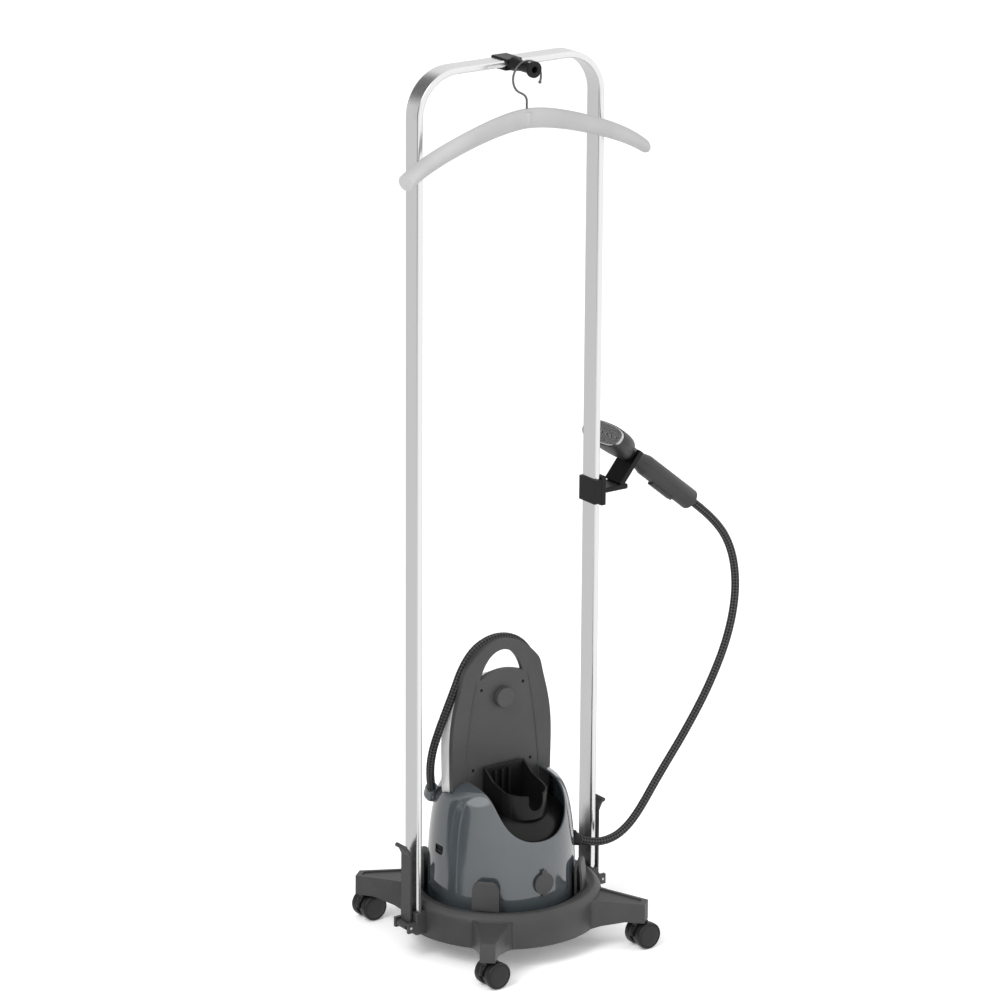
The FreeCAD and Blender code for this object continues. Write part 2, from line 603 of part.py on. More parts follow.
def unit_deck():
    """The dark inner deck: a low dome under the scoop, and the holster cup that stands on it."""
    dome = smooth_spin([(104.6, 180), (101.5, 198), (93, 216), (78, 226.5), (50, DECK_Z),
                        (20, DECK_Z), (0, DECK_Z)], 180)
    hollow = smooth_spin([(101.6, 179), (98.5, 195), (90, 212.5), (76, 223), (50, DECK_Z - 3),
                          (20, DECK_Z - 3), (0, DECK_Z - 3)], 179)
    dome = dome.cut(hollow)
    # The panel and its cover stand behind the deck's front half.
    dome = dome.cut(box(-94, -1, 150, 94, COVER_Y1 + 1, 240))
    outer = cup_column(CUP_HALF_W, 0)
    inner = cup_column(CUP_HALF_W - CUP_WALL, CUP_WALL)
    cup = outer.cut(inner)
    # The rim falls from the back wall to the front lip.
    wedge = [(-110, 262), (-110, 330), (10, 330), (10, 292), (-6, 290), (-30, 274), (-60, 266)]
    wire = Part.makePolygon([V(-60, y, z) for y, z in wedge] + [V(-60, *wedge[0])])
    cup = cup.cut(Part.Face(wire).extrude(V(120, 0, 0)))
    notch = fuse(box(-13, -110, 252, 13, -75, 300), rod((0, -110, 252), (0, 1, 0), 13, 35))
    cup = cup.cut(notch)
    ribs = [rounded_box(x - 2, CUP_BACK_Y - 9, DECK_Z, x + 2, CUP_BACK_Y - 2, 284, 0.8) for x in (-20, -7, 6)]
    return fuse(dome, cup, *ribs)


def cup_column(half_w, inset):
    """A U-shaped column: straight sides, a flat back and a round front."""
    centre_y = CUP_FRONT_Y + CUP_HALF_W
    back_y = CUP_BACK_Y - inset
    low = DECK_Z - 2 + inset
    column = box(-half_w, centre_y, low, half_w, back_y, 300)
    return fuse(column, Part.makeCylinder(half_w, 300 - low, V(0, centre_y, low)))


PANEL_HALF = [(88, 216), (91, 262), (92, 300), (92, 333), (90, 360), (83.5, 395), (74.5, 430), (70, 445),
              (60, 458), (43, 473.5), (22, 484)]
COVER_HALF = [(86, 216), (89, 262), (90, 300), (89.5, 345), (84, 380), (78, 401), (67, 417), (45, 425)]


def outline(half, top_z):
    """Both sides of a symmetric outline, starting with the straight lower edge."""
    left = [(-x, z) for x, z in half]
    middle = [(0, top_z)] if top_z else []
    return [left[0]] + half + middle + left[:0:-1]


def handle_hole(y0, y1):
    """The crescent that the fingers go through."""
    top = [(-42, 429), (-32, 451), (-17, 467), (0, 472), (16, 467), (30, 452), (38, 432)]
    bottom = [(38, 432), (20, 438), (0, 440), (-22, 437), (-42, 429)]
    edges = []
    for points in (top, bottom):
        curve = Part.BSplineCurve()
        curve.interpolate([V(x, y0, z) for x, z in points])
        edges.append(curve.toShape())
    return Part.Face(Part.Wire(edges)).extrude(V(0, y1 - y0, 0))


def hose_trough():
    """The channel behind the handle's arch that the hose lies in."""
    inner_r = HOSE_R + 0.4
    channel = hose(LOOP_ROUTE, inner_r + 2.6, "trough").cut(hose(LOOP_ROUTE, inner_r, "trough bore"))
    arch = smooth_plate(outline(PANEL_HALF, 488), PANEL_T - 1, 18)
    return channel.common(arch).common(box(-50, PANEL_T - 0.5, 462, 50, 18, 500))


def back_panel():
    panel = smooth_plate(outline(PANEL_HALF, 488), 0, PANEL_T)
    panel = panel.cut(handle_hole(-1, PANEL_T + 1))
    panel = fuse(panel, hose_trough())
    for x, z in PANEL_SCREWS:
        panel = panel.cut(rod((x, -1, z), (0, 1, 0), 2.6, 4))
    panel = panel.cut(rod((0, -1, KNOB_Z), (0, 1, 0), 4 + RUN_FIT, PANEL_T + 2))
    return panel


def back_panel_cover():
    cover = smooth_plate(outline(COVER_HALF, 428), COVER_Y0, COVER_Y1)
    hollow_half = [(x - 4, z) for x, z in COVER_HALF[:6]]
    hollow = smooth_plate(outline(hollow_half, 416), COVER_Y0 - 1, COVER_Y1 - 3)
    cover = cover.cut(hollow)
    # The hose beds in a groove in the cover's edge and goes into the grommet's pocket.
    cover = cover.cut(hose(LOOP_ROUTE, HOSE_R + 0.4, "groove"))
    seat = V(*LOOP_ROUTE[-1])
    run = seat - V(*LOOP_ROUTE[-2])
    run.normalize()
    return cover.cut(Part.makeCylinder(HOSE_R + 3.1, 22, seat - run * 14, run))


def rear_grommet():
    seat = V(*LOOP_ROUTE[-1])
    back = V(*LOOP_ROUTE[-2]) - seat
    return socket(seat, back, HOSE_R + 2.8, 12, 4)


def steam_knob():
    cap = rod((0, -11, KNOB_Z), (0, 1, 0), 16, 10.4)
    cap = cap.makeFillet(1.6, [e for e in cap.Edges if e.Length > 90 and e.CenterOfMass.y < -10])
    shaft = rod((0, -2, KNOB_Z), (0, 1, 0), 4, 14)
    return fuse(cap, shaft)


def radial_piece(radius, degrees, z, shapes):
    """Turns shapes drawn along +X at the origin to stand on the shell at an angle and height."""
    placed = []
    for shape in shapes:
        copy = shape.copy()
        copy.translate(V(radius, 0, z))
        placed.append(turned(copy, degrees))
    return placed


def make_unit():
    shell = unit_shell()
    drain_seat = radial_piece(112, DRAIN_DEG, DRAIN_Z, [rod((-6, 0, 0), (1, 0, 0), 9.3, 20)])[0]
    switch_seat = radial_piece(108, SWITCH_DEG, SWITCH_Z, [rounded_box(-8, -9.4, -6.9, 20, 9.4, 6.9, 2)])[0]
    shell = shell.cut(drain_seat).cut(switch_seat)
    save("unit_shell", shell)
    save("unit_deck", unit_deck())

    pan = Part.makeCylinder(109.8, 6, V(0, 0, SHELL_BASE_Z - 1))
    rim = Part.makeCylinder(109.8, 14, V(0, 0, 72)).cut(Part.makeCylinder(106.5, 14, V(0, 0, 72)))
    save("unit_base", fuse(pan, rim))
    foot_h = SHELL_BASE_Z - 1 - TRAY_FLOOR_Z
    save("unit_feet", group([Part.makeCylinder(9, foot_h, polar(80, a, TRAY_FLOOR_Z)) for a in ARM_ANGLES]))

    plug = [rod((-5, 0, 0), (1, 0, 0), 9, 9.5), rod((3.2, 0, 0), (1, 0, 0), DRAIN_R, 2.4)]
    tabs = [rounded_box(3.2, -4.5, DRAIN_R - 3, 5.6, 4.5, DRAIN_R + 5, 1),
            rounded_box(3.2, -3, -DRAIN_R - 4.5, 5.6, 3, -DRAIN_R + 3, 1)]
    cap = fuse(*plug, *tabs)
    save("drain_cap", radial_piece(112, DRAIN_DEG, DRAIN_Z, [cap])[0])

    frame = rounded_box(-6, -9.2, -6.7, 4.4, 9.2, 6.7, 1.8).cut(box(-4, -7.2, -5.0, 10, 7.2, 5.0))
    frame = frame.cut(rod((-1, -20, 0), (0, 1, 0), 1.0, 40))
    rocker = fuse(box(-2.8, -6.9, -3.9, 2.2, 6.9, 3.9), box(-2.8, -6.9, -3.9, 3.6, 6.9, -0.5))
    rocker = rocker.cut(rod((-1, -20, 0), (0, 1, 0), 1.0 + RUN_FIT, 40))
    axle = rod((-1, -8.6, 0), (0, 1, 0), 1.0, 17.2)
    placed = radial_piece(108.6, SWITCH_DEG, SWITCH_Z, [frame, rocker, axle])
    save("switch_frame", fuse(placed[0], placed[2]))
    save("switch_rocker", placed[1])

    tank = Part.makeCylinder(72, 74, V(0, -8, 84))
    tank = tank.makeFillet(14, [e for e in tank.Edges if e.Length > 400])
    bore = Part.makeCylinder(69, 68, V(0, -8, 87))
    tank = tank.cut(bore.makeFillet(11, [e for e in bore.Edges if e.Length > 400]))
    neck = Part.makeCylinder(14, 28, V(0, -40, 156))
    save("boiler", fuse(tank, neck))
    element = Part.makeTorus(46, 4, V(0, -8, 79.2))
    save("heating_element", element)
    save("solenoid_valve", fuse(box(28, -12, 158.2, 56, 12, 182), rod((42, -22, 170), (0, 1, 0), 7, 44)))
    save("control_board", rounded_box(-66, 60, 160, 30, 62.4, 203, 0.4))


def gland_left():
    """The rounded boss at the unit's rear left shoulder that the hose leaves."""
    start = V(*LOOP_ROUTE[0])
    run = V(*LOOP_ROUTE[1]) - start
    run.normalize()
    boot = Part.makeCone(13.5, 9.6, 15, start - run * 6, run)
    ball = Part.makeSphere(13.5, start - run * 6)
    stub = Part.makeCylinder(9, 26, start - run * 6, V(0.83, -0.55, 0))
    bore = Part.makeCylinder(HOSE_R + HOSE_FIT, 30, start, run)
    keep_out = smooth_spin(SHELL_OUTLINE, SHELL_BASE_Z)
    return fuse(boot, ball, stub).cut(bore).cut(keep_out)


def side_collar():
    start = V(*HOSE_ROUTE[0])
    run = V(*HOSE_ROUTE[1]) - start
    run.normalize()
    flange = Part.makeCylinder(13, 5, start - run * 3, run)
    boot = Part.makeCone(11.5, 9, 13, start, run)
    stub = Part.makeCylinder(9, 12, start - run * 12, run)
    bore = Part.makeCylinder(HOSE_R + HOSE_FIT, 30, start, run)
    keep_out = smooth_spin(SHELL_OUTLINE, SHELL_BASE_Z)
    return fuse(flange, boot, stub).cut(bore).cut(keep_out)


# ---- everything, one file per piece -------------------------------------------------------------------
def make_castors():
    for degrees, name in zip(ARM_ANGLES, ARM_NAMES):
        stem = polar(STEM_R, degrees, FLOOR_Z)
        pieces = {
            "housing": castor_housing(),
            "pins": castor_pins(),
            "wheel_front": castor_wheel(-1),
            "wheel_rear": castor_wheel(1),
        }
        for label, shape in pieces.items():
            shape.translate(stem)
            save("castor_" + name + "_" + label, shape)


def make_frame():
    save("base_tray", make_tray())
    save("retaining_tabs", group([retaining_tab(a) for a in TAB_ANGLES]))
    bracket = foot_bracket()
    lever = latch_lever()
    pin = rod((LEVER_PIN_X, -FRAME_D / 2 - 3, LEVER_PIN_Z), (0, 1, 0), LEVER_PIN_R, FRAME_D + 6)
    for side, change in (("right", lambda s: s), ("left", mirrored)):
        save(side + "_foot_bracket", change(bracket))
        save(side + "_latch_lever", change(lever))
    save("latch_pins", group([pin, mirrored(pin)]))
    save("frame_tube", make_frame_tube())
    save("peg_saddle", peg_saddle())
    save("peg_under_clamp", peg_under_clamp())
    save("peg_screws", peg_screws())
    save("hanger_hook", hook_wire())
    save("hanger_body", hanger_body())


def make_panel():
    save("back_panel", back_panel())
    save("back_panel_cover", back_panel_cover())
    heads = [rod((x, 0.6, z), (0, 1, 0), 2.5, 2.4) for x, z in PANEL_SCREWS]
    save("panel_screws", group(heads))
    save("steam_knob", steam_knob())


def make_hoses():
    save("steam_hose", hose(HOSE_ROUTE, HOSE_R, "free hose"))
    save("steam_hose_loop", hose(LOOP_ROUTE, HOSE_R, "hose over the handle"))
    save("hose_gland", gland_left())
    save("hose_collar", side_collar())
    save("hose_grommet", rear_grommet())


make_frame()
make_castors()
make_unit()
make_panel()
make_hoses()
make_handset()
save("holder_bracket", holder_bracket())
save("holder_clamp_plate", holder_clamp_plate())
save("holder_screws", holder_screws())
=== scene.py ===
import json
import math

import bmesh
import bpy
from mathutils import Matrix, Vector


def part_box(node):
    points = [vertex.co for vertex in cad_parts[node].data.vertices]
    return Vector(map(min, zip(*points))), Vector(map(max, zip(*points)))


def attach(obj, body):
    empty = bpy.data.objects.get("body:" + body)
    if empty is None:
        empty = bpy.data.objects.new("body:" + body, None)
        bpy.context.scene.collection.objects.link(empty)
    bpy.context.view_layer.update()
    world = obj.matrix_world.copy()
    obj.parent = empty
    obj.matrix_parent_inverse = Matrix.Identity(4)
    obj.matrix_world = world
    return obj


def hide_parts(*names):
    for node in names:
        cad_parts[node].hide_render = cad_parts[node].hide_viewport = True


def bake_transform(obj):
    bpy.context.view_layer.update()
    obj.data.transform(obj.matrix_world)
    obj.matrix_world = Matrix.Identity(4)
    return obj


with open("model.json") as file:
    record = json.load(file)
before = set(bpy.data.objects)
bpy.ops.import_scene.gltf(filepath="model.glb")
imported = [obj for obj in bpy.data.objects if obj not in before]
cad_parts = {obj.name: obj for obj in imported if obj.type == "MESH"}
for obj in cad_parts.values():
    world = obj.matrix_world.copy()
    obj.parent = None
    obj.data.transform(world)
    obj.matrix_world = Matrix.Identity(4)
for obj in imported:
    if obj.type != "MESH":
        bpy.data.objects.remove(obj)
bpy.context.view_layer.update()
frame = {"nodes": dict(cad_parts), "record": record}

MM = 0.001

# ---- camera --------------------------------------------------------------------------------------------
AZIMUTH = math.radians(-35.38)
ELEVATION = math.radians(17.40)
ROLL = math.radians(0.37)
TARGET = Vector((-0.0044, 0.0031, 0.700))
DISTANCE = 7.630
LENS = 182.52
SENSOR_WIDTH = 36


def make_camera():
    back = Vector((math.sin(AZIMUTH) * math.cos(ELEVATION), -math.cos(AZIMUTH) * math.cos(ELEVATION),
                   math.sin(ELEVATION)))
    right = Vector((math.cos(AZIMUTH), math.sin(AZIMUTH), 0))
    up = back.cross(right)
    across = right * math.cos(ROLL) + up * math.sin(ROLL)
    upward = up * math.cos(ROLL) - right * math.sin(ROLL)
    data = bpy.data.cameras.new("camera")
    data.lens = LENS
    data.sensor_width = SENSOR_WIDTH
    data.clip_start = 0.1
    data.clip_end = 200
    camera = bpy.data.objects.new("camera", data)
    turn = Matrix((across, upward, back)).transposed().to_4x4()
    camera.matrix_world = Matrix.Translation(TARGET + back * DISTANCE) @ turn
    bpy.context.scene.collection.objects.link(camera)
    bpy.context.scene.camera = camera


make_camera()


# ---- materials -----------------------------------------------------------------------------------------
def nodes_of(name):
    material = bpy.data.materials.new(name)
    material.use_nodes = True
    tree = material.node_tree
    return material, tree, tree.nodes["Principled BSDF"]


def noise(tree, scale, detail, stretch=(1, 1, 1)):
    """Noise fixed to the piece. A small stretch along an axis draws its grain out along that axis."""
    coords = tree.nodes.new("ShaderNodeTexCoord")
    mapping = tree.nodes.new("ShaderNodeMapping")
    mapping.inputs["Scale"].default_value = stretch
    tree.links.new(coords.outputs["Object"], mapping.inputs["Vector"])
    texture = tree.nodes.new("ShaderNodeTexNoise")
    texture.inputs["Scale"].default_value = scale
    texture.inputs["Detail"].default_value = detail
    tree.links.new(mapping.outputs["Vector"], texture.inputs["Vector"])
    return texture


RAMP_ENDS = (0.35, 0.65)


def ramp(tree, source, low, high):
    """A colour that goes from low to high as source goes from one of RAMP_ENDS to the other."""
    node = tree.nodes.new("ShaderNodeValToRGB")
    for element, end, colour in zip(node.color_ramp.elements, RAMP_ENDS, (low, high)):
        element.position = end
        element.color = (*colour, 1)
    tree.links.new(source, node.inputs["Fac"])
    return node.outputs["Color"]


def bump(tree, shader, height, strength, distance):
    node = tree.nodes.new("ShaderNodeBump")
    node.inputs["Strength"].default_value = strength
    node.inputs["Distance"].default_value = distance
    tree.links.new(height, node.inputs["Height"])
    tree.links.new(node.outputs["Normal"], shader.inputs["Normal"])


def grey(value):
    return (value, value, value)


TONE_SCALE = 9
PLASTIC_BUMP = 0.35
METAL_BUMP = 0.25


def plastic(name, low, high, rough, grain=1400, relief=0.00006, spec=0.5, coat=0.0):
    """Moulded plastic: a fine spark-eroded grain, slow tone changes and uneven gloss."""
    material, tree, shader = nodes_of(name)
    slow = noise(tree, TONE_SCALE, 3)
    tree.links.new(ramp(tree, slow.outputs["Fac"], low, high), shader.inputs["Base Color"])
    fine = noise(tree, grain, 2)
    tree.links.new(ramp(tree, slow.outputs["Fac"], grey(rough - 0.05), grey(rough + 0.06)),
                   shader.inputs["Roughness"])
    bump(tree, shader, fine.outputs["Fac"], PLASTIC_BUMP, relief)
    shader.inputs["Specular IOR Level"].default_value = spec
    shader.inputs["Coat Weight"].default_value = coat
    shader.inputs["Coat Roughness"].default_value = 0.05
    return material


def metal(name, low, high, rough, stretch, scale, relief):
    """Bare metal: even grain, or the long grain of drawn or brushed metal where stretch is small."""
    material, tree, shader = nodes_of(name)
    shader.inputs["Metallic"].default_value = 1
    grain = noise(tree, scale, 4, stretch)
    tree.links.new(ramp(tree, grain.outputs["Fac"], low, high), shader.inputs["Base Color"])
    tree.links.new(ramp(tree, grain.outputs["Fac"], grey(rough - 0.05), grey(rough + 0.07)),
                   shader.inputs["Roughness"])
    bump(tree, shader, grain.outputs["Fac"], METAL_BUMP, relief)
    return material


MATERIALS = {
    "tray_plastic": plastic("tray_plastic", grey(0.030), grey(0.044), 0.44),
    "frame_aluminium": metal("frame_aluminium", grey(0.84), grey(0.89), 0.2, (1, 1, 0.004), 700, 0.000003),
    "black_plastic": plastic("black_plastic", grey(0.004), grey(0.008), 0.36, spec=0.25),
    "dark_wire": metal("dark_wire", grey(0.13), grey(0.2), 0.3, (1, 1, 1), 600, 0.00001),
    "dark_screw": plastic("dark_screw", grey(0.002), grey(0.004), 0.6, spec=0.15),
    "handset_plastic": plastic("handset_plastic", grey(0.021), grey(0.031), 0.42),
    "panel_plastic": plastic("panel_plastic", grey(0.036), grey(0.050), 0.46),
    "shell_gloss": plastic("shell_gloss", (0.044, 0.053, 0.060), (0.052, 0.062, 0.069), 0.1, relief=0.000004,
                           spec=0.9, coat=1.0),
    "pale_cover": plastic("pale_cover", grey(0.62), grey(0.70), 0.2, relief=0.00001, coat=0.4),
    "steel": metal("steel", grey(0.5), grey(0.68), 0.25, (1, 1, 1), 600, 0.00001),
    "boiler_metal": metal("boiler_metal", grey(0.55), grey(0.7), 0.35, (1, 1, 0.05), 500, 0.00003),
    "board_green": plastic("board_green", (0.01, 0.09, 0.03), (0.014, 0.12, 0.04), 0.4),
    "rubber": plastic("rubber", grey(0.012), grey(0.02), 0.62, grain=900, relief=0.0001, spec=0.35),
    "hanger_plastic": plastic("hanger_plastic", grey(0.34), grey(0.4), 0.4),
    "castor_plastic": plastic("castor_plastic", grey(0.007), grey(0.012), 0.34, spec=0.4),
}


# ---- mesh helpers --------------------------------------------------------------------------------------
def finish_mesh(bm, name, sharp=35):
    """A smooth-shaded object from bm. Edges that turn more than sharp degrees stay crisp."""
    bmesh.ops.recalc_face_normals(bm, faces=bm.faces)
    for face in bm.faces:
        face.smooth = True
    limit = math.radians(sharp)
    for edge in bm.edges:
        edge.smooth = not (len(edge.link_faces) == 2 and edge.calc_face_angle() > limit)
    mesh = bpy.data.meshes.new(name)
    bm.to_mesh(mesh)
    bm.free()
    piece = bpy.data.objects.new(name, mesh)
    bpy.context.scene.collection.objects.link(piece)
    return piece


def dress(piece, body, slot, replaced=()):
    """Gives a piece its material and slot, the body it rides on and the CAD nodes it replaces."""
    piece.data.materials.append(MATERIALS[slot])
    if body:
        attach(piece, body)
    if replaced:
        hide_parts(*replaced)


def spline_points(route, resolution):
    """Points along the smooth line whose control points are the route's, in metres."""
    curve = bpy.data.curves.new("route", "CURVE")
    curve.dimensions = "3D"
    curve.resolution_u = resolution
    spline = curve.splines.new("NURBS")
    spline.points.add(len(route) - 1)
    for point, place in zip(spline.points, route):
        point.co = (*place, 1)
    spline.order_u = 3
    spline.use_endpoint_u = True
    holder = bpy.data.objects.new("route", curve)
    bpy.context.scene.collection.objects.link(holder)
    bpy.context.view_layer.update()
    line = bpy.data.meshes.new_from_object(holder.evaluated_get(bpy.context.evaluated_depsgraph_get()))
    points = [v.co.copy() for v in line.vertices]
    bpy.data.objects.remove(holder)
    return points


def evenly(points, step):
    """The same line with points about a step apart."""
    lengths = [0.0]
    for a, b in zip(points, points[1:]):
        lengths.append(lengths[-1] + (b - a).length)
    count = max(2, round(lengths[-1] / step))
    result = []
    index = 0
    for n in range(count + 1):
        at = lengths[-1] * n / count
        while index < len(lengths) - 2 and lengths[index + 1] < at:
            index += 1
        span = lengths[index + 1] - lengths[index]
        result.append(points[index].lerp(points[index + 1], (at - lengths[index]) / span))
    return result


def sweep(bm, points, radius, sides):
    """A closed round tube along points. radius is a function of (index, angle, distance)."""
    tangents = []
    for n in range(len(points)):
        ahead = points[min(n + 1, len(points) - 1)]
        behind = points[max(n - 1, 0)]
        tangents.append((ahead - behind).normalized())
    side = tangents[0].orthogonal().normalized()
    rings = []
    distance = 0.0
    for n, (point, tangent) in enumerate(zip(points, tangents)):
        if n:
            distance += (point - points[n - 1]).length
            side = (side - tangent * side.dot(tangent)).normalized()
        other = tangent.cross(side)
        ring = []
        for k in range(sides):
            angle = 2 * math.pi * k / sides
            r = radius(n, angle, distance)
            ring.append(bm.verts.new(point + (side * math.cos(angle) + other * math.sin(angle)) * r))
        rings.append(ring)
    for a, b in zip(rings, rings[1:]):
        for k in range(sides):
            bm.faces.new((a[k], a[(k + 1) % sides], b[(k + 1) % sides], b[k]))
    bm.faces.new(rings[0][::-1])
    bm.faces.new(rings[-1])


def unwrap_sweep(bm, points, sides, pitch):
    """Texture coordinates of a swept tube: once round is 0 to 1, and a pitch along it is 1."""
    layer = bm.loops.layers.uv.new("UVMap")
    bm.faces.ensure_lookup_table()
    distance = 0.0
    face = 0
    for a, b in zip(points, points[1:]):
        after = distance + (b - a).length
        for k in range(sides):
            corners = ((k, distance), (k + 1, distance), (k + 1, after), (k, after))
            for loop_corner, (turn, along) in zip(bm.faces[face].loops, corners):
                loop_corner[layer].uv = (turn / sides, along / pitch)
            face += 1
        distance = after


# ---- the steam hose ------------------------------------------------------------------------------------
HOSE_R = 0.0065
HOSE_ROUTE = [
    (0.1105, -0.0334, 0.1424), (0.138, -0.040, 0.1315), (0.167, -0.0445, 0.1285), (0.198, -0.044, 0.136),
    (0.233, -0.037, 0.157), (0.283, -0.024, 0.206), (0.345, -0.013, 0.267), (0.399, -0.003, 0.331),
    (0.440, 0.004, 0.404), (0.459, 0.012, 0.477), (0.452, 0.020, 0.543), (0.419, 0.027, 0.593),
    (0.375, 0.030, 0.628),
]
LOOP_ROUTE = [
    (-0.089, 0.059, 0.234), (-0.104, 0.044, 0.266), (-0.107, 0.034, 0.306), (-0.099, 0.027, 0.342),
    (-0.089, 0.021, 0.375), (-0.077, 0.017, 0.408), (-0.064, 0.0165, 0.439), (-0.043, 0.0165, 0.4645),
    (-0.015, 0.0165, 0.477), (0.015, 0.0165, 0.477), (0.043, 0.0165, 0.4645), (0.064, 0.0165, 0.439),
    (0.076, 0.018, 0.409), (0.081, 0.020, 0.380),
]
BRAID_SIDES = 36
BRAID_STEP = 0.0011
BRAID_PITCH = 0.040
BRAID_STRANDS = 8
BRAID_RELIEF = 0.0006
BRAID_SHARP = 80
ROUTE_RESOLUTION = 24
PATH_EVERY = 4


def braid_radius(_, angle, distance):
    """The woven jacket: two families of strands that wind opposite ways, each over then under the other."""
    turn = 2 * math.pi * distance / BRAID_PITCH
    one = math.cos(BRAID_STRANDS * (angle + turn))
    two = math.cos(BRAID_STRANDS * (angle - turn))
    return HOSE_R - BRAID_RELIEF * (1 - max(one, two)) * 0.5


def make_hose(name, route):
    line = evenly(spline_points([Vector(p) for p in route], ROUTE_RESOLUTION), BRAID_STEP)
    bm = bmesh.new()
    sweep(bm, line, braid_radius, BRAID_SIDES)
    unwrap_sweep(bm, line, BRAID_SIDES, BRAID_PITCH)
    path = [list(p) for p in line[::PATH_EVERY] + [line[-1]]]
    return finish_mesh(bm, name, BRAID_SHARP), path


def hose_material():
    """Black braid in which every other crossing shows a paler strand."""
    material, tree, shader = nodes_of("hose_braid")
    fibres = noise(tree, 1500, 3)
    coords = tree.nodes.new("ShaderNodeTexCoord")
    mapping = tree.nodes.new("ShaderNodeMapping")
    diagonal = BRAID_STRANDS * math.sqrt(2)
    mapping.inputs["Scale"].default_value = (diagonal, diagonal, 1)
    mapping.inputs["Rotation"].default_value = (0, 0, math.radians(45))
    tree.links.new(coords.outputs["UV"], mapping.inputs["Vector"])
    weave = tree.nodes.new("ShaderNodeTexChecker")
    weave.inputs["Scale"].default_value = 1
    tree.links.new(mapping.outputs["Vector"], weave.inputs["Vector"])
    tree.links.new(ramp(tree, fibres.outputs["Fac"], grey(0.002), grey(0.012)), weave.inputs["Color1"])
    tree.links.new(ramp(tree, fibres.outputs["Fac"], grey(0.03), grey(0.085)), weave.inputs["Color2"])
    tree.links.new(weave.outputs["Color"], shader.inputs["Base Color"])
    tree.links.new(ramp(tree, fibres.outputs["Fac"], grey(0.42), grey(0.7)), shader.inputs["Roughness"])
    bump(tree, shader, fibres.outputs["Fac"], 0.5, 0.0001)
    shader.inputs["Specular IOR Level"].default_value = 0.25
    return material


MATERIALS["hose_braid"] = hose_material()

hose, hose_line = make_hose("steam_hose_free", HOSE_ROUTE)
dress(hose, None, "hose_braid", ["steam_hose"])
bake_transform(hose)

loop, loop_line = make_hose("steam_hose_over_handle", LOOP_ROUTE)
dress(loop, "steamer", "hose_braid", ["steam_hose_loop"])

# ---- finishes of the CAD pieces ------------------------------------------------------------------------
WELD_DISTANCE = 0.00001
USUAL_EDGE = 0.0005
EDGE_WIDTH = {"base_tray": 0.0014, "unit_shell": 0.0009, "back_panel": 0.0016}
EDGE_SEGMENTS = 2
EDGE_ANGLE = math.radians(32)
# Pieces that look different in the photograph from the material that the record gives them.
FINISH = {"panel_screws": "dark_screw", "unit_deck": "black_plastic", "hanger_hook": "dark_wire",
          "back_panel_cover": "pale_cover"}
REPLACED_HOSES = ("steam_hose", "steam_hose_loop")
SLOT_OF = {part["node"]: part["material_slot"] for part in frame["record"]["subparts"]}


def round_edges(name, node):
    weld = node.modifiers.new("weld", "WELD")
    weld.merge_threshold = WELD_DISTANCE
    bevel = node.modifiers.new("edges", "BEVEL")
    bevel.width = EDGE_WIDTH.get(name, USUAL_EDGE)
    bevel.segments = EDGE_SEGMENTS
    bevel.limit_method = "ANGLE"
    bevel.angle_limit = EDGE_ANGLE
    bevel.harden_normals = True


def finish_cad_pieces():
    for name, node in frame["nodes"].items():
        node.data.materials.clear()
        node.data.materials.append(MATERIALS[FINISH.get(name, SLOT_OF[name])])
        if name not in REPLACED_HOSES:
            round_edges(name, node)


finish_cad_pieces()


# ---- detailed pieces -----------------------------------------------------------------------------------
def lathe(bm, profile, sides, place):
    """A solid of revolution. profile is (radius, distance along the axis) in mm, from axis to axis."""
    rings = []
    for radius, along in profile:
        if radius == 0:
            rings.append([bm.verts.new(place @ Vector((0, 0, along * MM)))])
            continue
        ring = []
        for k in range(sides):
            angle = 2 * math.pi * k / sides
            point = Vector((radius * MM * math.cos(angle), radius * MM * math.sin(angle), along * MM))
            ring.append(bm.verts.new(place @ point))
        rings.append(ring)
    for a, b in zip(rings, rings[1:]):
        for k in range(sides):
            after = (k + 1) % sides
            corners = [a[k % len(a)], a[after % len(a)], b[after % len(b)], b[k % len(b)]]
            corners = [v for n, v in enumerate(corners) if v not in corners[:n]]
            bm.faces.new(corners)


WHEEL_PROFILE = [
    (0, 10.9), (2.7, 10.9), (2.7, 0.6), (16.8, 0.6), (18.2, 0.1), (19.6, 0.2), (20.5, 0.9), (20.9, 2.0),
    (21, 3.2), (21, 9.8), (20.9, 11.0), (20.5, 12.0), (19.6, 12.8), (18.7, 12.95), (18.3, 12.6), (18.1, 12.0),
    (17.5, 12.0), (17.2, 12.5), (16.6, 12.8), (9, 12.9), (0, 12.98),
]
WHEEL_SIDES = 72
WHEEL_SHARP = 50


def make_wheels():
    """Castor wheels: a tread, a rim, a turned groove, a flat cover disc and a small hub."""
    for name in sorted(frame["nodes"]):
        if "_wheel_" not in name:
            continue
        low, high = (Vector(c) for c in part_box(name))
        centre = (low + high) / 2
        front = name.endswith("_front")
        start = high.y if front else low.y
        turn = Matrix.Rotation(math.radians(90 if front else -90), 4, "X")
        bm = bmesh.new()
        lathe(bm, WHEEL_PROFILE, WHEEL_SIDES, Matrix.Translation((centre.x, start, centre.z)) @ turn)
        dress(finish_mesh(bm, name + "_tyre", WHEEL_SHARP), name, SLOT_OF[name], [name])


make_wheels()


# Half the distance between the ridges and the height, in millimetres, from the bottom up.
RIDGE_LINE = [(71, 212), (70, 252), (67, 290), (62, 335), (56, 375), (51, 402), (47, 422)]
RIDGE_Y = 0.0002
RIDGE_R = 0.0013
RIDGE_TAPER = 6
RIDGE_STEP = 0.002
RIDGE_RESOLUTION = 10
RIDGE_SIDES = 14
RIDGE_SHARP = 60


def tapered(count):
    """The radius of a ridge of count rings, which thins out over its first and last few."""
    return lambda n, angle, distance: RIDGE_R * min(1, (n + 1) / RIDGE_TAPER, (count - n) / RIDGE_TAPER)


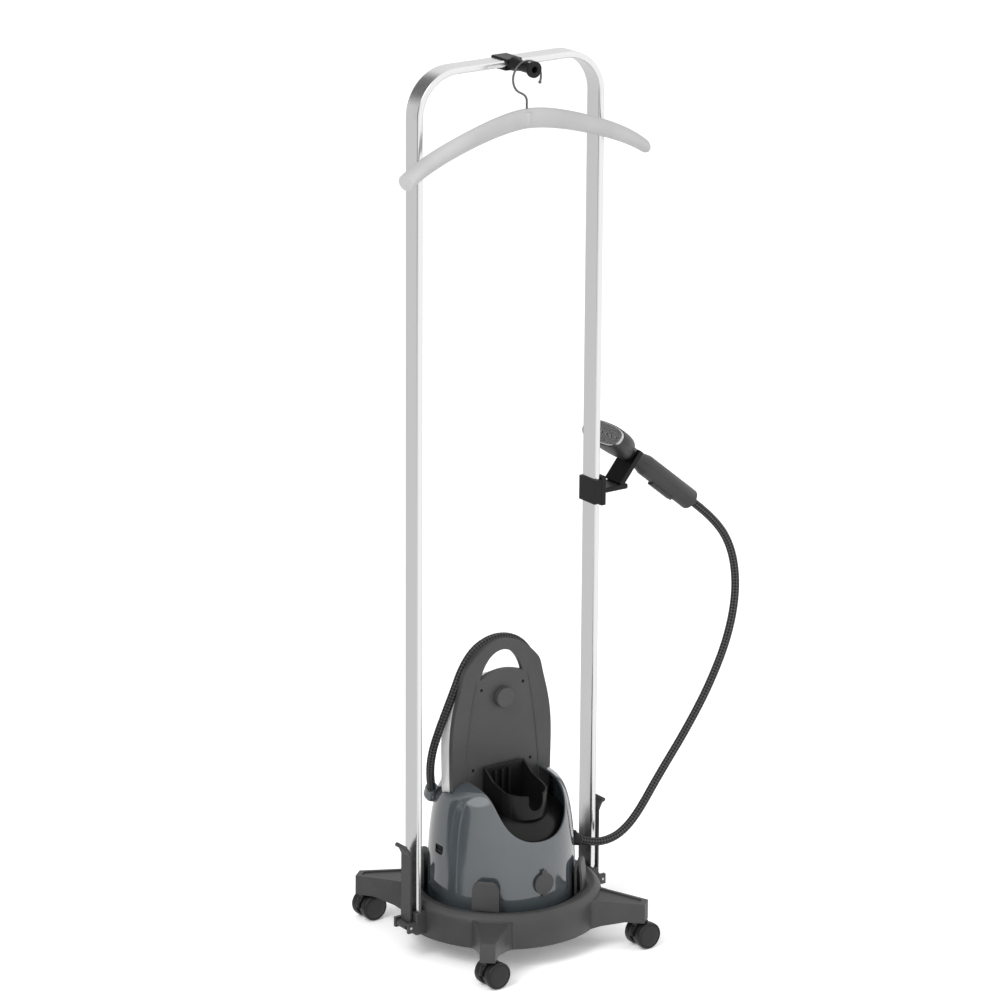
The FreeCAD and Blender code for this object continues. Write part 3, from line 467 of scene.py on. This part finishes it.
def make_panel_ridges():
    """The low ridges that frame the panel's middle field."""
    bm = bmesh.new()
    for side in (-1, 1):
        route = [Vector((side * x * MM, RIDGE_Y, z * MM)) for x, z in RIDGE_LINE]
        points = evenly(spline_points(route, RIDGE_RESOLUTION), RIDGE_STEP)
        sweep(bm, points, tapered(len(points)), RIDGE_SIDES)
    dress(finish_mesh(bm, "panel_ridges", RIDGE_SHARP), "steamer", SLOT_OF["back_panel"])


make_panel_ridges()


# ---- studio --------------------------------------------------------------------------------------------
FLOOR_RADIUS = 30
FLOOR_DROP = 0.0005
FLOOR_GLOW = 0.16


def make_floor():
    """A white floor just under the wheels, which glossy pieces don't mirror."""
    bm = bmesh.new()
    bmesh.ops.create_circle(bm, cap_ends=True, segments=96, radius=FLOOR_RADIUS)
    floor = finish_mesh(bm, "floor")
    material, tree, shader = nodes_of("floor")
    cloud = noise(tree, 0.8, 2)
    tree.links.new(ramp(tree, cloud.outputs["Fac"], grey(0.96), grey(0.97)), shader.inputs["Base Color"])
    shader.inputs["Roughness"].default_value = 0.9
    shader.inputs["Specular IOR Level"].default_value = 0.1
    shader.inputs["Emission Color"].default_value = (1, 1, 1, 1)
    shader.inputs["Emission Strength"].default_value = FLOOR_GLOW
    floor.data.materials.append(material)
    floor.location.z = -FLOOR_DROP
    floor.visible_glossy = False


def facing(tree, direction, axis, stops):
    """A grey that depends on how far direction points along axis: 0 is against it, 1 is along it."""
    dot = tree.nodes.new("ShaderNodeVectorMath")
    dot.operation = "DOT_PRODUCT"
    tree.links.new(direction, dot.inputs[0])
    dot.inputs[1].default_value = axis
    lift = tree.nodes.new("ShaderNodeMath")
    lift.operation = "MULTIPLY_ADD"
    lift.inputs[1].default_value = 0.5
    lift.inputs[2].default_value = 0.5
    tree.links.new(dot.outputs["Value"], lift.inputs[0])
    node = tree.nodes.new("ShaderNodeValToRGB")
    elements = node.color_ramp.elements
    while len(elements) < len(stops):
        elements.new(0.5)
    for element, (at, value) in zip(elements, stops):
        element.position = at
        element.color = (*grey(value), 1)
    tree.links.new(lift.outputs["Value"], node.inputs["Fac"])
    return node.outputs["Color"]


def blended(tree, kind, first, second):
    """Two colours combined in full. A Mix node has its colours at inputs 6 and 7 and at output 2."""
    mix = tree.nodes.new("ShaderNodeMix")
    mix.data_type = "RGBA"
    mix.blend_type = kind
    mix.inputs[0].default_value = 1
    tree.links.new(first, mix.inputs[6])
    tree.links.new(second, mix.inputs[7])
    return mix.outputs[2]


def make_world():
    """A soft room that lights and is mirrored, behind a background that the camera sees as white."""
    world = bpy.data.worlds.new("studio")
    bpy.context.scene.world = world
    world.use_nodes = True
    tree = world.node_tree
    background = tree.nodes["Background"]
    white = tree.nodes.new("ShaderNodeBackground")
    white.inputs["Color"].default_value = (1, 1, 1, 1)
    direction = tree.nodes.new("ShaderNodeTexCoord").outputs["Generated"]

    # In the room are a strip that makes the shell's dark band, a corner that makes the frame's dark bend,
    # and a window that makes the pale patch on the shell's shoulder.
    room = facing(tree, direction, (0.5, -0.8, 0.33), [(0.0, 0.66), (0.35, 0.80), (0.7, 0.98), (1.0, 1.04)])
    strip = facing(tree, direction, (-0.931, 0.365, 0.0),
                   [(0.0, 1.0), (0.952, 1.0), (0.966, 0.14), (1.0, 0.12)])
    dark_corner = facing(tree, direction, (-0.30, 0.78, 0.55),
                         [(0.0, 1.0), (0.93, 1.0), (0.985, 0.22), (1.0, 0.2)])
    window = facing(tree, direction, (-0.72, 0.02, 0.69),
                    [(0.0, 0.0), (0.955, 0.0), (0.968, 1.0), (1.0, 1.0)])
    banded = blended(tree, "MULTIPLY", room, strip)
    shaded = blended(tree, "MULTIPLY", banded, dark_corner)
    tree.links.new(blended(tree, "ADD", shaded, window), background.inputs["Color"])

    seen = tree.nodes.new("ShaderNodeLightPath")
    choose = tree.nodes.new("ShaderNodeMixShader")
    tree.links.new(seen.outputs["Is Camera Ray"], choose.inputs["Fac"])
    tree.links.new(background.outputs["Background"], choose.inputs[1])
    tree.links.new(white.outputs["Background"], choose.inputs[2])
    tree.links.new(choose.outputs["Shader"], tree.nodes["World Output"].inputs["Surface"])


def area_light(name, place, target, size, power):
    data = bpy.data.lights.new(name, "AREA")
    data.shape = "RECTANGLE"
    data.size, data.size_y = size
    data.energy = power
    light = bpy.data.objects.new(name, data)
    light.location = place
    light.visible_glossy = False
    light.rotation_euler = (Vector(target) - Vector(place)).to_track_quat("-Z", "Y").to_euler()
    bpy.context.scene.collection.objects.link(light)


make_floor()
make_world()
area_light("key", (-3.2, -1.2, 3.6), target=(0, 0, 0.7), size=(1.6, 2.6), power=110)
area_light("fill", (3.0, -3.0, 1.8), target=(0, 0, 0.5), size=(1.4, 2.2), power=35)
bpy.context.scene.view_settings.view_transform = "Standard"
